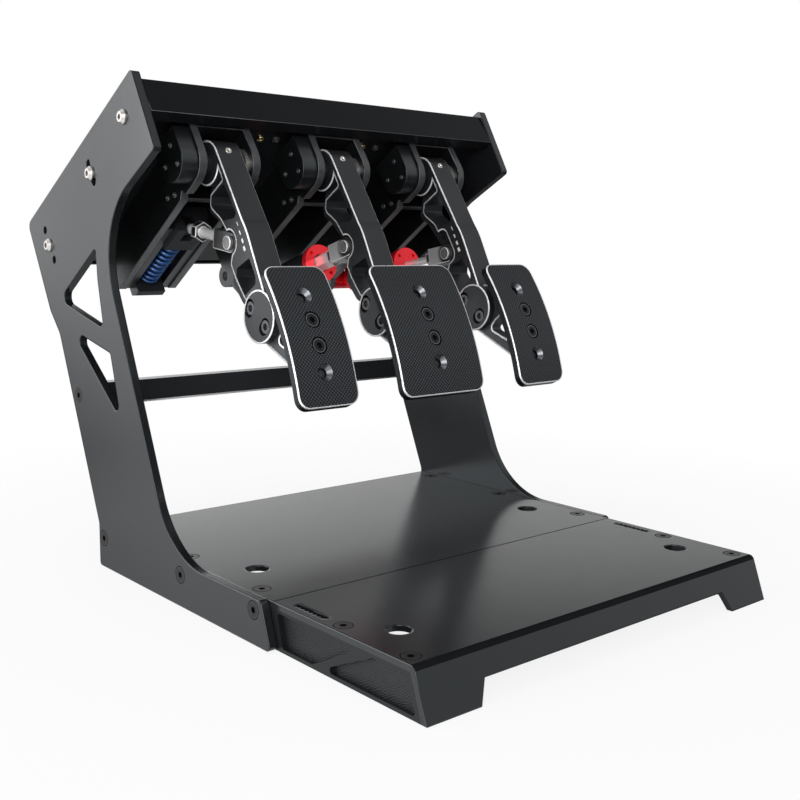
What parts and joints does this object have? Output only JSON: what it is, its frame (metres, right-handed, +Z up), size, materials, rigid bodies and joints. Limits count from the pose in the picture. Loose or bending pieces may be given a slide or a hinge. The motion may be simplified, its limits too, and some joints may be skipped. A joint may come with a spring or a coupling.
{
  "type": "sim racing pedal set",
  "caption": "Hanging clutch, brake and throttle pedals on a tilted deck between side plates, above a flat heel base; each arm works a sprung linkage.",
  "frame": {"origin": "on the floor, under the middle of the set's box", "axes": "+X to the driver's right, +Y away from the driver, +Z up"},
  "size_m": [0.3424, 0.48, 0.36],
  "materials": {
    "black_coat": "satin",
    "black_screw": "satin",
    "stainless": "satin",
    "bracket_black": "satin black anodised",
    "hood_black": "matt",
    "arm_black": "satin black anodised",
    "pad_black": "woven black face",
    "polished": "polished",
    "guide_grey": "bare",
    "carriage_black": "satin black anodised",
    "spring_blue": "gloss",
    "red_anodised": "anodised",
    "barrel_grey": "anodised",
    "rubber": "matt"
  },
  "bodies": {
    "stand": {"side_plate_left": "black_coat", "side_plate_right": "black_coat", "base_plate": "black_coat", "heel_plate": "black_coat", "base_rail_left": "black_coat", "base_rail_right": "black_coat", "cross_bar": "black_coat", "frame_screws": "black_screw", "top_cover": "black_coat", "pedal_deck": "black_coat", "deck_bolts": "stainless", "pivot_bearings": "stainless", "strut_pins": "black_screw", "clutch_bracket": "bracket_black", "clutch_sensor_hood": "hood_black", "clutch_guide_rails": "guide_grey", "clutch_spring": "spring_blue", "clutch_spring_end": "carriage_black", "brake_bracket": "bracket_black", "brake_sensor_hood": "hood_black", "throttle_bracket": "bracket_black", "throttle_sensor_hood": "hood_black"},
    "clutch_pedal": {"clutch_arm": "arm_black", "clutch_axle": "stainless", "clutch_pad_carrier": "arm_black", "clutch_pad": "pad_black", "clutch_carrier_bolts": "black_screw", "clutch_pad_screws": "black_screw", "clutch_clevis_pin": "polished"},
    "brake_pedal": {"brake_arm": "arm_black", "brake_axle": "stainless", "brake_pad_carrier": "arm_black", "brake_pad": "pad_black", "brake_carrier_bolts": "black_screw", "brake_pad_screws": "black_screw", "brake_clevis_pin": "polished"},
    "throttle_pedal": {"throttle_arm": "arm_black", "throttle_axle": "stainless", "throttle_pad_carrier": "arm_black", "throttle_pad": "pad_black", "throttle_carrier_bolts": "black_screw", "throttle_pad_screws": "black_screw", "throttle_clevis_pin": "polished"},
    "clutch_slide": {"clutch_carriage": "carriage_black", "clutch_carriage_pin": "stainless"},
    "clutch_link": {"clutch_push_rod": "polished", "clutch_lock_nut": "polished", "clutch_clevis": "polished"},
    "brake_cylinder": {"brake_barrel": "barrel_grey", "brake_preload_ring": "red_anodised", "brake_elastomers": "rubber"},
    "brake_plunger": {"brake_push_rod": "polished", "brake_lock_nut": "polished", "brake_clevis": "polished"},
    "throttle_cylinder": {"throttle_barrel": "red_anodised", "throttle_preload_ring": "red_anodised", "throttle_spring": "spring_blue"},
    "throttle_plunger": {"throttle_push_rod": "polished", "throttle_lock_nut": "polished", "throttle_clevis": "polished"}
  },
  "joints": [
    {"name": "clutch_press", "type": "hinge", "parent": "stand", "child": "clutch_pedal", "pos_m": [-0.102, 0.05692, 0.30154], "axis": [1, 0, 0], "range_deg": [0, 16], "stiffness_Nm_per_rad": 60, "springref_deg": -5.73},
    {"name": "brake_press", "type": "hinge", "parent": "stand", "child": "brake_pedal", "pos_m": [0, 0.05692, 0.30154], "axis": [1, 0, 0], "range_deg": [0, 6], "stiffness_Nm_per_rad": 300, "springref_deg": -1.72},
    {"name": "throttle_press", "type": "hinge", "parent": "stand", "child": "throttle_pedal", "pos_m": [0.102, 0.05692, 0.30154], "axis": [1, 0, 0], "range_deg": [0, 15], "stiffness_Nm_per_rad": 20, "springref_deg": -5.73},
    {"name": "clutch_travel", "type": "slide", "parent": "stand", "child": "clutch_slide", "axis": [0, 0.8251, -0.565], "range_m": [0, 0.0206], "deforming": ["clutch_spring"]},
    {"name": "clutch_link_swing", "type": "hinge", "parent": "clutch_slide", "child": "clutch_link", "pos_m": [-0.102, 0.1049, 0.25656], "axis": [1, 0, 0], "range_deg": [-4, 0]},
    {"name": "brake_cylinder_swing", "type": "hinge", "parent": "stand", "child": "brake_cylinder", "pos_m": [0, 0.1412, 0.20868], "axis": [1, 0, 0], "range_deg": [0, 0.52]},
    {"name": "brake_plunge", "type": "slide", "parent": "brake_cylinder", "child": "brake_plunger", "axis": [0, 0.9564, -0.292], "range_m": [0, 0.0068], "deforming": ["brake_elastomers"]},
    {"name": "throttle_cylinder_swing", "type": "hinge", "parent": "stand", "child": "throttle_cylinder", "pos_m": [0.102, 0.1687, 0.21167], "axis": [1, 0, 0], "range_deg": [0, 1.6]},
    {"name": "throttle_plunge", "type": "slide", "parent": "throttle_cylinder", "child": "throttle_plunger", "axis": [0, 0.983, -0.1836], "range_m": [0, 0.0182], "deforming": ["throttle_spring"]}
  ],
  "couplings": [
    {"joint": "clutch_travel", "follows": "clutch_press", "m_per_rad": 0.073285},
    {"joint": "clutch_link_swing", "follows": "clutch_press", "ratio": -0.24384},
    {"joint": "brake_cylinder_swing", "follows": "brake_press", "ratio": 0.083525},
    {"joint": "brake_plunge", "follows": "brake_press", "m_per_rad": 0.064577},
    {"joint": "throttle_cylinder_swing", "follows": "throttle_press", "ratio": 0.10593},
    {"joint": "throttle_plunge", "follows": "throttle_press", "m_per_rad": 0.069405}
  ]
}
